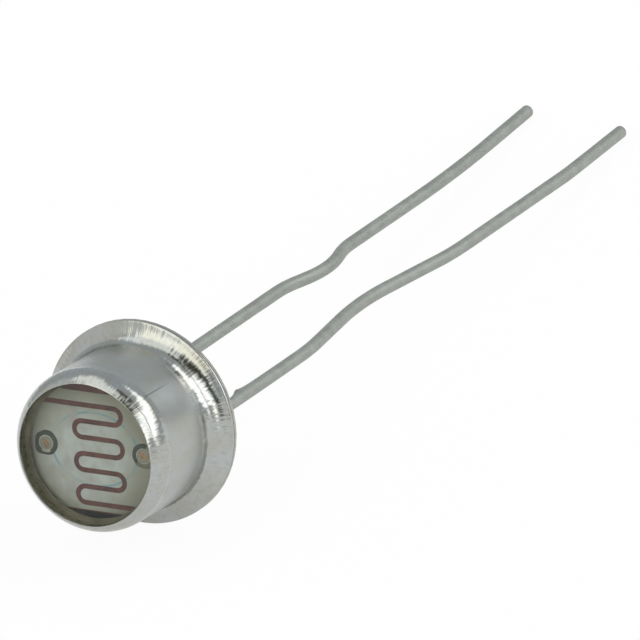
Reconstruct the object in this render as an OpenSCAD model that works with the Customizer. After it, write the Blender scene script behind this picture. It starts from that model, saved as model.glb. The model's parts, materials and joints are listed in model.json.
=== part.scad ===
// Photoresistor in a windowed metal can, lying on its brim and its lead tips.
// It is drawn along its optical axis, with the seating plane at zero and the window at the
// top, and then laid down. Lengths are millimetres and angles are degrees.

/* [Can] */
// Outside diameter of the can's drawn wall
can_d = 5.3; // [5.2:0.02:6.4]
// Height of the aperture's edge above the seating plane
can_h = 3.82; // [3.6:0.02:6]
// Thickness of the can's sheet
can_wall = 0.11; // [0.1:0.01:0.14]
// Outer radius of the front shoulder, in which the aperture is cut
shoulder_r = 0.89; // [0.7:0.01:1]
// Width of the front lip, from the wall to the aperture
lip_w = 0.335; // [0.3:0.005:0.4]
// Radius between the wall and the brim
brim_root_r = 0.5; // [0.3:0.01:0.55]
// Reach of the brim beyond the wall
brim_w = 0.65; // [0.6:0.01:1.2]

/* [Window] */
// Thickness of the glass window
window_t = 0.4; // [0.3:0.05:0.5]
// Reach of the window's rim behind the lip
window_lap = 0.06; // [0.03:0.01:0.1]
// Clearance between the window's front edge and the shoulder
window_clear = 0.01; // [0.005:0.005:0.03]
// Width of the sealing ring, from the can inwards
seal_w = 0.33; // [0.25:0.01:0.4]
// Thickness of the sealing ring under the window
seal_t = 0.09; // [0.05:0.01:0.1]

/* [Header] */
// Thickness of the eyelet's sheet
eyelet_wall = 0.11; // [0.1:0.01:0.2]
// Clearance between the eyelet's wall and the can
eyelet_clear = 0.12; // [0.05:0.01:0.2]
// Outer radius of the eyelet's upper shoulder
eyelet_shoulder_r = 0.25; // [0.21:0.01:0.4]
// Radius between the eyelet's wall and its flange
eyelet_root_r = 0.15; // [0.1:0.01:0.3]
// Diameter of the glass-filled lead holes in the eyelet
lead_hole_d = 0.86; // [0.7:0.02:0.88]
// Height of the glass that climbs each lead under the header
meniscus_h = 0.18; // [0.08:0.01:0.3]
// Reach of that glass round each lead
meniscus_w = 0.22; // [0.1:0.01:0.35]

/* [Element] */
// Thickness of the ceramic plate
substrate_t = 1.2; // [0.8:0.05:1.4]
// Clearance between the plate's round ends and the can
substrate_clear = 0.1; // [0.05:0.01:0.2]
// Distance across the plate's two flats
across_flats = 4.12; // [4.1:0.02:4.5]
// Gap between the electrodes and the window
face_gap = 0.21; // [0.11:0.01:0.4]
// Thickness of the light sensitive layer
cds_t = 0.02; // [0.01:0.005:0.05]
// Thickness of the electrode films
film_t = 0.02; // [0.01:0.005:0.05]
// Bare margin between the films and the plate's round edge
film_edge = 0.17; // [0.05:0.01:0.2]
// Bare margin along the upper flat
film_high = 0.22; // [0.05:0.01:0.3]
// Bare margin along the lower flat
film_low = 0.05; // [0.02:0.01:0.1]
// Diameter of the lead holes through the plate
post_hole_d = 0.8; // [0.6:0.05:0.85]
// Depth of the conductive rings below the plate's face
contact_depth = 0.5; // [0.2:0.05:0.8]

/* [Track] */
// Width of the bare track between the electrodes
track_w = 0.17; // [0.1:0.01:0.2]
// Distance between the track's runs
track_pitch = 0.532; // [0.45:0.002:0.54]
// Number of runs
track_runs = 7; // [3:2:7]
// Length of the inner runs between their turns
run_l = 1.14; // [0.6:0.01:1.2]
// Sideways step from each turn to the next
turn_shift = 0.018; // [0:0.002:0.05]
// Sideways place of the track's middle
track_x = 0.15; // [0:0.01:0.3]
// Upward place of the track's middle
track_y = -0.19; // [-0.2:0.01:0]

/* [Leads] */
// Diameter of the wire
lead_d = 0.42; // [0.35:0.01:0.5]
// Distance between the leads
lead_pitch = 3.44; // [3.2:0.02:3.5]
// Straight stretch below the seating plane before the leads lean
lean_z = 2.6; // [0.2:0.1:3.5]
// Angle at which the leads lean up, away from the surface that the part lies on
lean_angle = 2.4; // [0.5:0.1:4]
// Chamfer at each cut tip
tip_cut = 0.06; // [0.02:0.01:0.15]
// Height of the lead ends above the electrodes
post_stand = 0.04; // [0.01:0.01:0.08]

/* [Left lead] */
// Length of the left wire below the seating plane
left_l = 30; // [28:0.1:36]
// Straight stretch from the seating plane to the kink
left_straight = 12; // [4:0.1:14]
// Angle of the kink's sides
left_kink_angle = 14.6; // [4:0.1:20]
// Length of the kink's inward side
left_in = 0.55; // [0.3:0.05:3]
// Length of the kink's outward side
left_out = 0.25; // [0.2:0.05:3]
// Radius of the kink's bends
left_kink_r = 4.1; // [0.8:0.1:5]
// Straight stretch after the kink
left_after = 4.1; // [1:0.1:6]
// Inward angle of the tail, negative where it spreads
left_tail_angle = -4.9; // [-6:0.1:-0.5]
// Radius of the bend at the left tail
left_tail_r = 68; // [10:1:90]

/* [Right lead] */
// Length of the right wire below the seating plane
right_l = 29.3; // [28:0.1:36]
// Straight stretch from the seating plane to the kink
right_straight = 7; // [4:0.1:9]
// Angle of the kink's sides
right_kink_angle = 7.5; // [3:0.1:8]
// Length of the kink's inward side
right_in = 2.05; // [1:0.05:5]
// Length of the kink's outward side
right_out = 2.75; // [1:0.05:5]
// Radius of the kink's bends
right_kink_r = 12; // [1:0.5:14]
// Straight stretch after the kink
right_after = 6.7; // [0.5:0.1:9]
// Inward angle of the tail, negative where it spreads
right_tail_angle = 3.4; // [0.5:0.1:5]
// Radius of the bend at the right tail
right_tail_r = 10; // [5:1:30]

/* [Hidden] */
$fn = 96;

LEFT = -1;
RIGHT = 1;

// Radii, from the can inwards
can_r = can_d / 2;
bore_r = can_r - can_wall;
brim_r = can_r + brim_w;
arc_r = can_r - shoulder_r;
arc_inner_r = shoulder_r - can_wall;
aperture_r = can_r - lip_w;
window_r = aperture_r + window_lap;
eyelet_r = bore_r - eyelet_clear;
substrate_r = bore_r - substrate_clear;
lead_r = lead_d / 2;

// Heights above the seating plane, from the lip down to the header
crown_z = can_h - sqrt(pow(shoulder_r, 2) - pow(shoulder_r - lip_w, 2));
window_top = crown_z + sqrt(pow(arc_inner_r, 2) - pow(window_r - arc_r, 2)) - window_clear;
window_z = window_top - window_t;
film_top = window_z - face_gap;
film_z = film_top - film_t;
cds_z = film_z - cds_t;
eyelet_h = cds_z - substrate_t;
brim_z = eyelet_wall;
glass_z = eyelet_wall + eyelet_root_r;
post_top = film_top + post_stand;

// Track layout: an odd count of runs, with turns from right to left in turn as they go down
runs = 2 * round((track_runs - 1) / 2) + 1;
turn_r = track_pitch / 2;
first_run_y = track_y + (runs - 1) / 2 * track_pitch;
past_edge = 2 * substrate_r;

// Wire forms: each row is a straight stretch, the turn after it, that turn's radius and its way
INWARD = 0;
UPWARD = 90;
lean_bend_r = 3;
// A bend is a little thinner than the straight wire, and runs into it at both ends
bend_neck = 0.01;
bend_lap = 0.05;
left_form = wire_form(left_straight, left_kink_angle, left_in, left_out, left_kink_r, left_after,
                      left_tail_angle, left_tail_r, left_l);
right_form = wire_form(right_straight, right_kink_angle, right_in, right_out, right_kink_r, right_after,
                       right_tail_angle, right_tail_r, right_l);

// The part rests on the brim's back edge and on the first lead tip that meets the surface
left_end = wire_end(left_form) + [0, 0, post_top];
right_end = wire_end(right_form) + [0, 0, post_top];
tilt = min(rest_angle(left_end), rest_angle(right_end));
rest_z = brim_r * cos(tilt);
front_y = -aperture_r * sin(tilt) - can_h * cos(tilt);
middle_y = (front_y + max(tip_y(left_end), tip_y(right_end))) / 2;

function run_y(i) = first_run_y - i * track_pitch;
function turn_y(i) = run_y(i) - turn_r;
function turns_right(i) = i % 2 == 0;
function turn_x(i) =
    track_x + (turns_right(i) ? run_l : -run_l) / 2 + (i - (runs - 2) / 2) * turn_shift;

function arc_l(angle, radius) = abs(angle) * PI / 180 * radius;

function wire_form(straight, kink, in_l, out_l, kink_r, after, tail, tail_r, length) =
    let (lean_l = lean_z + arc_l(lean_angle, lean_bend_r))
    let (kink_l = in_l + out_l + arc_l(4 * kink, kink_r))
    let (tail_l = length - straight - kink_l - after - arc_l(tail, tail_r))
    [
        [post_top + lean_z, lean_angle, lean_bend_r, UPWARD],
        [straight - lean_l, kink, kink_r, INWARD],
        [in_l, -2 * kink, kink_r, INWARD],
        [out_l, kink, kink_r, INWARD],
        [after, tail, tail_r, INWARD],
        [tail_l, 0, 0, INWARD]
    ];

function about_z(a) = [[cos(a), -sin(a), 0], [sin(a), cos(a), 0], [0, 0, 1]];
function about_y(a) = [[cos(a), 0, sin(a)], [0, 1, 0], [-sin(a), 0, cos(a)]];

// Where a formed wire ends, seen from its start
function wire_end(form, i = 0) =
    let (down = [0, 0, -form[i][0]], turn = form[i][1], way = form[i][3])
    i == len(form) - 1 ? down :
    let (centre = [sign(turn) * form[i][2], 0, 0])
    let (next = about_z(-way) * wire_end(form, i + 1) - centre)
    down + about_z(way) * (centre + about_y(-turn) * next);

function rest_angle(end) = atan((brim_r + end.y - lead_r) / (-end.z - tip_cut));
function tip_y(end) = -end.z * cos(tilt) + (end.y + lead_r - tip_cut) * sin(tilt);

// Lays the upright part down, window to the front, with its box centred on the origin
module lying() {
    translate([0, -middle_y, rest_z]) rotate([90 - tilt, 0, 0]) children();
}

// Quarter of a bent sheet's section, in the quadrant that the two signs give
module bend_section(outer_r, inner_r, x_side, y_side) {
    intersection() {
        difference() {
            circle(outer_r);
            circle(inner_r);
        }
        scale([x_side, y_side]) square(outer_r);
    }
}

// Section of a drawn top hat without its top: brim, root bend, wall and shoulder
module hat_section(wall_r, sheet, base_z, wall_top, root_r, crown_r, edge_r) {
    root_z = base_z + sheet + root_r;
    translate([wall_r + root_r, base_z]) square([edge_r - wall_r - root_r, sheet]);
    translate([wall_r + root_r, root_z]) bend_section(root_r + sheet, root_r, -1, -1);
    translate([wall_r - sheet, root_z]) square([sheet, wall_top - root_z]);
    translate([wall_r - crown_r, wall_top]) bend_section(crown_r, crown_r - sheet, 1, 1);
}

module cap() {
    color("#B4B8B8") lying() rotate_extrude() difference() {
        hat_section(can_r, can_wall, brim_z, crown_z, brim_root_r, shoulder_r, brim_r);
        square([aperture_r, crown_z + 2 * shoulder_r]);
    }
}

module window() {
    color("#DCE8E4") lying() translate([0, 0, window_z]) cylinder(r = window_r, h = window_t);
}

// Ring that fills the can's shoulder round the window and turns in under its edge
module window_seal() {
    color("#34362F") lying() rotate_extrude() difference() {
        intersection() {
            union() {
                square([bore_r, crown_z]);
                translate([arc_r, crown_z]) bend_section(arc_inner_r, 0, 1, 1);
            }
            translate([bore_r - seal_w, window_z - seal_t]) square([seal_w, seal_t + window_t]);
        }
        translate([0, window_z]) square([window_r, 2 * window_t]);
    }
}

module eyelet() {
    wall_top = eyelet_h - eyelet_shoulder_r;
    flat_r = eyelet_r - eyelet_shoulder_r;
    color("#A9A79C") lying() difference() {
        rotate_extrude() {
            hat_section(eyelet_r, eyelet_wall, 0, wall_top, eyelet_root_r, eyelet_shoulder_r, brim_r);
            translate([0, eyelet_h - eyelet_wall]) square([flat_r, eyelet_wall]);
        }
        at_leads() translate([0, 0, eyelet_h / 2]) cylinder(d = lead_hole_d, h = eyelet_h);
    }
}

module header_glass() {
    crown_r = eyelet_shoulder_r - eyelet_wall;
    under_top = eyelet_h - eyelet_wall;
    fill_r = eyelet_r - eyelet_wall;
    color("#3F4A44") lying() difference() {
        union() {
            rotate_extrude() {
                translate([0, glass_z]) square([fill_r, under_top - crown_r - glass_z]);
                translate([0, glass_z]) square([fill_r - crown_r, under_top - glass_z]);
                translate([fill_r - crown_r, under_top - crown_r]) bend_section(crown_r, 0, 1, 1);
            }
            at_leads() translate([0, 0, glass_z]) cylinder(d = lead_hole_d, h = eyelet_h - glass_z);
            at_leads() translate([0, 0, glass_z - meniscus_h])
                cylinder(r1 = lead_r, r2 = lead_r + meniscus_w, h = meniscus_h);
        }
        at_leads() cylinder(d = lead_d, h = post_top);
    }
}

// Outline of the plate: round ends and two flats, each drawn in by its own margin
module plate_outline(edge = 0, low = 0, high = 0) {
    intersection() {
        circle(substrate_r - edge);
        translate([-past_edge / 2, low - across_flats / 2])
            square([past_edge, across_flats - low - high]);
    }
}

module at_leads() {
    for (side = [LEFT, RIGHT]) translate([side * lead_pitch / 2, 0]) children();
}

module substrate() {
    color("#E4DFD2") lying() translate([0, 0, eyelet_h]) linear_extrude(substrate_t) difference() {
        plate_outline();
        at_leads() circle(d = post_hole_d);
    }
}

module cds_layer() {
    color("#5E3B34") lying() translate([0, 0, cds_z]) linear_extrude(cds_t) difference() {
        plate_outline();
        at_leads() circle(d = post_hole_d);
    }
}

// The track's half ring from run i to run i + 1
module turn_section(i) {
    translate([turn_x(i), turn_y(i)]) difference() {
        circle(turn_r + track_w / 2);
        circle(turn_r - track_w / 2);
        translate([turns_right(i) ? -past_edge : 0, -past_edge / 2]) square(past_edge);
    }
}

// The serpentine track: its first run leaves over the left edge and its last over the right
module track_section() {
    for (i = [0 : runs - 1]) {
        from_x = i == 0 ? -past_edge : turn_x(turns_right(i) ? i - 1 : i);
        to_x = i == runs - 1 ? past_edge : turn_x(turns_right(i) ? i : i - 1);
        translate([from_x, run_y(i) - track_w / 2]) square([to_x - from_x, track_w]);
    }
    for (i = [0 : runs - 2]) turn_section(i);
}

// Everything on the left electrode's side of the track's middle line
module left_side() {
    last_y = run_y(runs - 1);
    difference() {
        union() {
            translate([-past_edge, last_y - past_edge]) square([2 * past_edge, past_edge]);
            for (i = [0 : runs - 2]) {
                translate([-past_edge, run_y(i + 1)]) square([turn_x(i) + past_edge, track_pitch]);
            }
            for (i = [0 : 2 : runs - 2]) translate([turn_x(i), turn_y(i)]) circle(turn_r);
        }
        for (i = [1 : 2 : runs - 2]) translate([turn_x(i), turn_y(i)]) circle(turn_r);
    }
}

module film_section() {
    difference() {
        plate_outline(film_edge, film_low, film_high);
        track_section();
        at_leads() circle(d = post_hole_d);
    }
}

module electrode_left() {
    color("#8F928B") lying() translate([0, 0, film_z]) linear_extrude(film_t) intersection() {
        film_section();
        left_side();
    }
}

module electrode_right() {
    color("#8F928B") lying() translate([0, 0, film_z]) linear_extrude(film_t) difference() {
        film_section();
        left_side();
    }
}

// Ring that fills the plate's hole round a lead end and climbs its side
module contact(side) {
    hole_r = post_hole_d / 2;
    fill_h = film_top - cds_z + contact_depth;
    color("#2F3836") lying() translate([side * lead_pitch / 2, 0, cds_z - contact_depth]) difference() {
        union() {
            cylinder(r = hole_r, h = fill_h);
            translate([0, 0, fill_h]) cylinder(r1 = hole_r, r2 = lead_r, h = post_stand);
        }
        cylinder(r = lead_r, h = fill_h + post_stand);
    }
}

module contact_left() {
    contact(LEFT);
}

module contact_right() {
    contact(RIGHT);
}

// Formed wire that starts downwards at the origin, with positive inward turns towards +X
module formed_wire(form, i = 0) {
    straight = form[i][0];
    turn = form[i][1];
    bend_r = form[i][2];
    way = form[i][3];
    is_tail = i == len(form) - 1;
    cut = is_tail ? tip_cut : 0;
    translate([0, 0, -straight + cut]) cylinder(r = lead_r, h = straight - cut);
    if (is_tail) {
        translate([0, 0, -straight]) cylinder(r1 = lead_r - tip_cut, r2 = lead_r, h = tip_cut);
    } else {
        centre = [sign(turn) * bend_r, 0, -straight];
        lap = bend_lap / bend_r * 180 / PI;
        rotate([0, 0, way]) translate(centre) {
            rotate([-90, 0, turn > 0 ? 180 : 0]) rotate([0, 0, -lap])
                rotate_extrude(angle = abs(turn) + 2 * lap)
                    translate([bend_r, 0]) circle(lead_r - bend_neck);
            rotate([0, -turn, 0]) translate([-centre.x, 0, 0]) rotate([0, 0, -way])
                formed_wire(form, i + 1);
        }
    }
}

// A lead from its end in the element's face to its tip, bent towards the other lead
module lead(side, form) {
    color("#9A9F9C") lying() translate([side * lead_pitch / 2, 0, post_top])
        mirror([side == RIGHT ? 1 : 0, 0, 0]) formed_wire(form);
}

module lead_left() {
    lead(LEFT, left_form);
}

module lead_right() {
    lead(RIGHT, right_form);
}

cap();
window();
window_seal();
eyelet();
header_glass();
substrate();
cds_layer();
electrode_left();
electrode_right();
contact_left();
contact_right();
lead_left();
lead_right();
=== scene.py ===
"""Looks of a photoresistor in a windowed metal can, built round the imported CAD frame.

The meshes are drawn in the optical frame: millimetres, X across the two leads, Y up the element's
face and Z out of the window, with the seating plane at zero. One matrix lays them in the row frame.
"""

import json
import logging
import math
from collections.abc import Callable, Iterator
from dataclasses import dataclass, field, replace
from enum import Enum

import bpy
import numpy as np
from mathutils import Matrix, Vector, noise

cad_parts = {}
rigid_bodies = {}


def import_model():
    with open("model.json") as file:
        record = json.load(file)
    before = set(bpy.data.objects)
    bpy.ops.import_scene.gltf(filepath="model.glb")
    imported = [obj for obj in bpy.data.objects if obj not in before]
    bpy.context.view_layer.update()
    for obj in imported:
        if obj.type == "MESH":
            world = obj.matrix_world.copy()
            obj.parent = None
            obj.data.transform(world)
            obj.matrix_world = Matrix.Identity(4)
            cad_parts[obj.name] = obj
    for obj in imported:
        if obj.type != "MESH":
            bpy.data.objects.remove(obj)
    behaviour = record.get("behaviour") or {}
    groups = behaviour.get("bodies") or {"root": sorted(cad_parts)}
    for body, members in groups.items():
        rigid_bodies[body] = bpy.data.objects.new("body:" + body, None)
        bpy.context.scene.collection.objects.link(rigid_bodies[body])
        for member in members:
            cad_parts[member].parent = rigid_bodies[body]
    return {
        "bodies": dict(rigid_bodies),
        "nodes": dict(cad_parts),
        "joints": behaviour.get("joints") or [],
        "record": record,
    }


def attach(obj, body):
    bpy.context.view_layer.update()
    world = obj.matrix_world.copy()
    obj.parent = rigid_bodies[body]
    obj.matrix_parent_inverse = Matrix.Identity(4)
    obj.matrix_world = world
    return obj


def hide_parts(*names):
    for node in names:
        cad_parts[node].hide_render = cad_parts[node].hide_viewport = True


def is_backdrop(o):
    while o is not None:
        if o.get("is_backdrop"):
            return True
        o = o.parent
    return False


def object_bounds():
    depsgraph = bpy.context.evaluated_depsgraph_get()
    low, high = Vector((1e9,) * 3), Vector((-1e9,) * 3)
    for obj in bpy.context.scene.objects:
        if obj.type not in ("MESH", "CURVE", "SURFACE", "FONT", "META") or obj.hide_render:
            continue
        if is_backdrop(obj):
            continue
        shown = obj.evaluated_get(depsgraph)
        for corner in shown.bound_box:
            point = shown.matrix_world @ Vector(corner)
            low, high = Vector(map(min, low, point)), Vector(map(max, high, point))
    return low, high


LOG = logging.getLogger("photoresistor")
MM = 1e-3
BODY = "root"

Pair = tuple[float, float]
Triple = tuple[float, float, float]
Socket = bpy.types.NodeSocket
Tree = bpy.types.NodeTree


class Slot(Enum):
    """The record's material slots, by name; no piece of this scene reads them."""

    CAP = "cap_metal"
    LEAD = "lead_tin"
    GLASS = "window_glass"
    PASTE = "contact_paste"


class Side(Enum):
    """Left or right lead, as seen in front of the window."""

    LEFT = -1
    RIGHT = 1


class Coat(Enum):
    """What a face of a contact ring is made of, by the number of its finish."""

    PASTE = 0
    SOLDER = 1
    THIN_PASTE = 2


def linear(code: str) -> tuple[float, float, float, float]:
    """Turns an sRGB hex colour into linear light.

    Args:
        code: Colour as "#RRGGBB".

    Returns:
        Red, green and blue in linear light, and an alpha of one.
    """
    parts = [int(code[i : i + 2], 16) / 255 for i in (1, 3, 5)]
    red, green, blue = (
        p / 12.92 if p <= 0.04045 else ((p + 0.055) / 1.055) ** 2.4 for p in parts
    )
    return red, green, blue, 1.0


def feed(tree: Tree, node: bpy.types.Node, inputs: dict) -> None:
    """Sets a node's inputs.

    Args:
        tree: The node's tree.
        node: The node.
        inputs: Socket name or number to a value, or to the socket that feeds it.
    """
    for key, value in inputs.items():
        if isinstance(value, Socket):
            tree.links.new(value, node.inputs[key])
        else:
            node.inputs[key].default_value = value


def add_node(
    tree: Tree,
    kind: str,
    inputs: dict | None = None,
    stops: list[tuple[float, tuple]] | None = None,
    **settings: object,
) -> bpy.types.Node:
    """Adds a node with its settings and links.

    Args:
        tree: Node tree to add to.
        kind: Blender's type name, without its "ShaderNode" prefix.
        inputs: Its inputs, as in feed.
        stops: Places and colours of a colour ramp.
        **settings: The node's own properties.

    Returns:
        The new node.
    """
    node = tree.nodes.new("ShaderNode" + kind)
    for key, value in settings.items():
        setattr(node, key, value)
    feed(tree, node, inputs or {})
    if stops:
        elements = node.color_ramp.elements
        while len(elements) < len(stops):
            elements.new(1.0)
        for element, (place, colour) in zip(elements, stops):
            element.position = place
            element.color = colour
    return node


def new_material(name: str) -> tuple[bpy.types.Material, Tree, bpy.types.Node]:
    """Makes an empty node material with a Principled shader.

    Args:
        name: The material's name.

    Returns:
        The material, its tree and its shader.
    """
    material = bpy.data.materials.new(name)
    material.use_nodes = True
    tree = material.node_tree
    tree.nodes.clear()
    shader = add_node(tree, "BsdfPrincipled")
    add_node(tree, "OutputMaterial", {"Surface": shader.outputs[0]})
    return material, tree, shader


def show(tree: Tree, surface: bpy.types.Node) -> None:
    """Makes another shader the material's surface."""
    output = next(node for node in tree.nodes if node.type == "OUTPUT_MATERIAL")
    feed(tree, output, {"Surface": surface.outputs[0]})


@dataclass(frozen=True)
class OpticalFrame:
    """Where the part's own axes lie in the row frame, read from the record's mounts."""

    origin: Vector
    across: Vector
    up: Vector
    front: Vector

    @classmethod
    def from_mounts(cls, mounts: list[dict]) -> "OpticalFrame":
        """Reads the optical axis from the can's wall and the seating plane from the seat.

        Args:
            mounts: The record's mounts.

        Returns:
            The frame, with its origin in the middle of the seating plane.
        """
        named = {m["name"]: m for m in mounts}
        front = Vector(named["can_wall"]["axis"]).normalized()
        wall = Vector(named["can_wall"]["pos_m"])
        seat = Vector(named["seat"]["pos_m"])
        across = Vector((1.0, 0.0, 0.0))
        origin = wall - front * (wall - seat).dot(front)
        return cls(origin, across, front.cross(across), front)

    def turn(self) -> Matrix:
        """Rotation from the optical frame to the row frame."""
        return Matrix((self.across, self.up, self.front)).transposed()

    def matrix(self) -> Matrix:
        """Millimetres in the optical frame to metres in the row frame."""
        return Matrix.Translation(self.origin) @ (self.turn() * MM).to_4x4()

    def coords(self, tree: Tree) -> Socket:
        """Adds the optical frame's millimetres to a material.

        Args:
            tree: The material's tree.

        Returns:
            Socket with the surface point in optical millimetres.
        """
        back = self.turn().transposed()
        place = add_node(tree, "TexCoord")
        mapping = add_node(
            tree,
            "Mapping",
            {
                "Vector": place.outputs["Object"],
                "Location": back @ self.origin * (-1 / MM),
                "Rotation": back.to_euler(),
                "Scale": (1 / MM, 1 / MM, 1 / MM),
            },
        )
        return mapping.outputs[0]


@dataclass
class MeshDraft:
    """Vertices, faces and flat maps of a piece that is being drawn, in optical millimetres."""

    points: list[Triple] = field(default_factory=list)
    faces: list[tuple[int, ...]] = field(default_factory=list)
    flat: list[list[Pair]] = field(default_factory=list)
    slots: list[int] = field(default_factory=list)

    def face(
        self, corners: tuple[int, ...], flat: list[Pair] | None = None, slot: int = 0
    ) -> None:
        """Adds one face.

        Args:
            corners: Vertex numbers.
            flat: The corners' places on the flat map, in millimetres.
            slot: Material slot of the face.
        """
        self.faces.append(corners)
        self.flat.append(flat or [self.points[c][:2] for c in corners])
        self.slots.append(slot)

    def make(
        self, name: str, frame: OpticalFrame, finishes: list[bpy.types.Material]
    ) -> bpy.types.Object:
        """Turns the draft into an object that rides on the part.

        Args:
            name: The piece's name.
            frame: Where the part lies.
            finishes: Materials of the slots.

        Returns:
            The new object.
        """
        mesh = bpy.data.meshes.new(name)
        mesh.from_pydata(self.points, [], self.faces)
        layer = mesh.uv_layers.new(name="millimetres")
        corners = [c for face in self.flat for c in face]
        layer.data.foreach_set("uv", np.array(corners, np.float32).ravel())
        mesh.polygons.foreach_set("material_index", self.slots)
        mesh.polygons.foreach_set("use_smooth", [True] * len(self.faces))
        mesh.transform(frame.matrix())
        mesh.validate()
        mesh.update()
        for finish in finishes:
            mesh.materials.append(finish)
        piece = bpy.data.objects.new(name, mesh)
        bpy.context.scene.collection.objects.link(piece)
        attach(piece, BODY)
        return piece


def arc(centre: Pair, radius: float, start: float, end: float, steps: int) -> list[Pair]:
    """Samples a circular arc of a section.

    Args:
        centre: Centre as radius and height.
        radius: The arc's radius.
        start: First angle in degrees.
        end: Last angle in degrees.
        steps: Number of stretches.

    Returns:
        Points along the arc, both ends included.
    """
    angles = np.radians(np.linspace(start, end, steps + 1))
    return [(centre[0] + radius * math.cos(a), centre[1] + radius * math.sin(a)) for a in angles]


def line(start: Pair, end: Pair, steps: int) -> list[Pair]:
    """Samples a straight stretch of a section.

    Args:
        start: First point.
        end: Last point.
        steps: Number of stretches.

    Returns:
        Points along the stretch, both ends included.
    """
    parts = np.linspace(0.0, 1.0, steps + 1)
    return [tuple(np.add(start, np.subtract(end, start) * t)) for t in parts]


def rounded(before: Pair, corner: Pair, after: Pair, steps: int) -> list[Pair]:
    """Samples a soft corner of a section.

    Args:
        before: Where the corner's curve starts.
        corner: The sharp corner that it softens.
        after: Where the curve ends.
        steps: Number of stretches.

    Returns:
        Points along the curve, both ends included.
    """
    a, b, c = (np.array(p) for p in (before, corner, after))
    parts = np.linspace(0.0, 1.0, steps + 1)
    return [tuple((1 - t) ** 2 * a + 2 * t * (1 - t) * b + t * t * c) for t in parts]


def lattice(rows: int, columns: int, closed: bool) -> Iterator[tuple[int, int, tuple[int, ...]]]:
    """Walks over the quads of a shape whose sections stand round an axis.

    Args:
        rows: Number of sections.
        columns: Number of points in each section.
        closed: Whether a section's last point joins its first.

    Yields:
        The quad's section, its place along the section and its corners.
    """
    for j in range(rows):
        k = (j + 1) % rows
        for i in range(columns if closed else columns - 1):
            n = (i + 1) % columns
            yield j, i, (j * columns + i, j * columns + n, k * columns + n, k * columns + i)


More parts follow.
